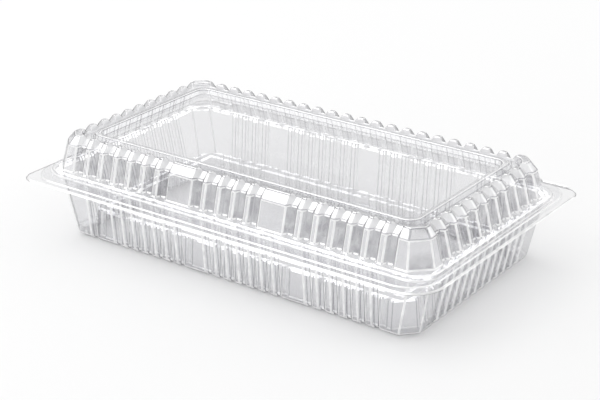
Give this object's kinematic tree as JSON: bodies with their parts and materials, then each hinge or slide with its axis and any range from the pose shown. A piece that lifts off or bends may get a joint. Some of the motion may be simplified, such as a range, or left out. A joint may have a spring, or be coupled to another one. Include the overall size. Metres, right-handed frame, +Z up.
{
  "type": "hinged food container",
  "caption": "Clear thermoformed clamshell: ribbed rectangular tray with a raised floor and a fluted domed lid that folds back on a living hinge along one long side.",
  "frame": {"origin": "middle of the overall footprint, on the plane that the tray stands on", "axes": "+X along the long sides, +Y from the front towards the hinge, +Z up"},
  "size_m": [0.24, 0.146, 0.0532],
  "materials": {
    "clear_sheet": "clear gloss"
  },
  "bodies": {
    "base": {"base": "clear_sheet"},
    "lid": {"lid": "clear_sheet"}
  },
  "joints": [
    {"name": "hinge", "type": "hinge", "parent": "base", "child": "lid", "pos_m": [0, 0.07255, 0.03315], "axis": [-1, 0, 0], "range_deg": [0, 180]}
  ]
}
